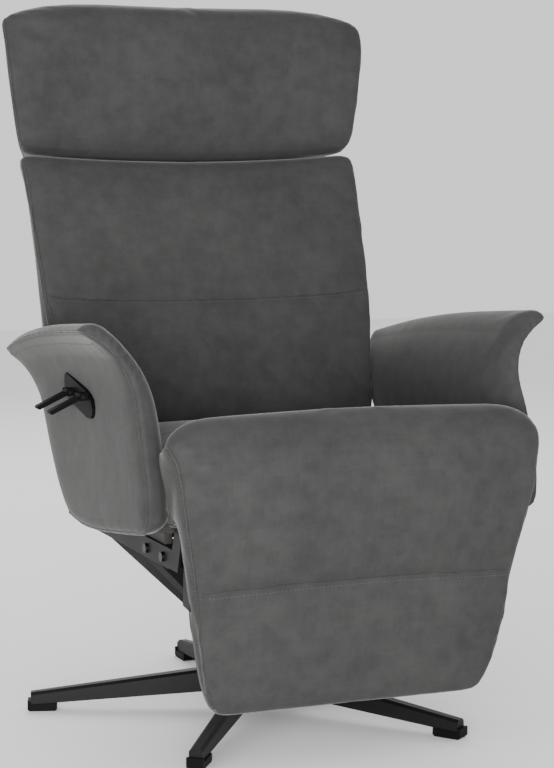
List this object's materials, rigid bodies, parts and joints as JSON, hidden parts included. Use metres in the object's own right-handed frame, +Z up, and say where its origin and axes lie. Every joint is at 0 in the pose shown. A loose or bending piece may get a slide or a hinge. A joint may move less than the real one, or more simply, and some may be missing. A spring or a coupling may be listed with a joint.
{
  "type": "recliner armchair",
  "caption": "Padded recliner armchair on a star swivel base, with flared wing arms, a tilting head rest, a reclining back and a swing-up leg rest released by side levers.",
  "frame": {"origin": "on the floor under the swivel axis, at the middle of the star base", "axes": "+Z up, -Y towards the sitter's feet (front), +X towards the chair's own left side"},
  "size_m": [0.72, 0.8089, 1.094],
  "materials": {
    "fabric": "dark grey velvet-look upholstery with a short nap",
    "steel": "satin black powder coat",
    "bright_steel": "plain zinc-plated steel",
    "plastic": "fine-textured black plastic",
    "timber": "plain beech and birch plywood",
    "webbing": "woven elastic webbing"
  },
  "bodies": {
    "base": {"hub": "steel", "leg_1": "steel", "leg_2": "steel", "leg_3": "steel", "leg_4": "steel", "leg_5": "steel", "glides": "plastic", "column": "bright_steel", "thrust_washer": "plastic", "hub_cap": "plastic"},
    "carrier": {"swivel_head": "steel", "strut_front_right": "steel", "strut_front_left": "steel", "strut_rear_right": "steel", "strut_rear_left": "steel", "side_rail_right": "steel", "side_rail_left": "steel", "cross_rail_front": "steel", "cross_rail_middle": "steel", "cross_rail_rear": "steel", "seat_timber_sides": "timber", "frame_spacers": "timber", "seat_timber_front": "timber", "seat_timber_rear": "timber", "seat_webbing": "webbing", "seat_cushion": "fabric", "arm_pad_right": "fabric", "arm_board_right": "timber", "arm_pad_left": "fabric", "arm_board_left": "timber", "lever_pins": "bright_steel", "lever_plate": "plastic", "spring_mount": "steel", "back_brackets": "steel", "back_pins": "bright_steel", "rest_brackets": "steel", "rest_pins": "bright_steel", "rest_ratchets": "steel", "frame_bolts": "bright_steel"},
    "back": {"back_cushion": "fabric", "back_board": "timber", "back_shell": "fabric", "back_arms": "steel", "back_torque_tube": "steel", "back_crank": "steel", "neck_hinges_lower": "steel"},
    "head_rest": {"head_cushion": "fabric", "head_board": "timber", "head_shell": "fabric", "neck_hinges_upper": "steel"},
    "leg_rest": {"rest_pad": "fabric", "rest_board": "timber", "rest_arms": "steel", "knee_tube": "steel"},
    "lever_back": {"lever_back": "plastic"},
    "lever_foot": {"lever_foot": "plastic"},
    "spring_tube": {"back_spring_tube": "steel"},
    "spring_rod": {"back_spring_rod": "bright_steel"}
  },
  "joints": [
    {"name": "swivel", "type": "hinge", "parent": "base", "child": "carrier", "pos_m": [0, 0, 0.1], "axis": [0, 0, 1], "continuous": true},
    {"name": "back_recline", "type": "hinge", "parent": "carrier", "child": "back", "pos_m": [0, 0.19, 0.4], "axis": [-1, 0, 0], "range_deg": [0, 40]},
    {"name": "head_tilt", "type": "hinge", "parent": "back", "child": "head_rest", "pos_m": [0, 0.34398, 0.81928], "axis": [1, 0, 0], "range_deg": [-20, 15]},
    {"name": "leg_rest_lift", "type": "hinge", "parent": "carrier", "child": "leg_rest", "pos_m": [0, -0.345, 0.425], "axis": [-1, 0, 0], "range_deg": [0, 80]},
    {"name": "back_lever_lift", "type": "hinge", "parent": "carrier", "child": "lever_back", "pos_m": [-0.3104, -0.03, 0.506], "axis": [0, 1, 0], "range_deg": [0, 25], "stiffness_Nm_per_rad": 0.3},
    {"name": "leg_lever_lift", "type": "hinge", "parent": "carrier", "child": "lever_foot", "pos_m": [-0.3104, -0.095, 0.506], "axis": [0, 1, 0], "range_deg": [0, 25], "stiffness_Nm_per_rad": 0.3},
    {"name": "spring_swing", "type": "hinge", "parent": "carrier", "child": "spring_tube", "pos_m": [0.06, -0.02, 0.305], "axis": [1, 0, 0], "range_deg": [-1, 2.92]},
    {"name": "spring_stroke", "type": "slide", "parent": "spring_tube", "child": "spring_rod", "axis": [0, 0.9991, 0.0434], "range_m": [-0.06042, 0.001]}
  ],
  "couplings": [
    {"joint": "spring_swing", "follows": "back_recline", "ratio": 0.048},
    {"joint": "spring_stroke", "follows": "back_recline", "m_per_rad": -0.085109}
  ]
}
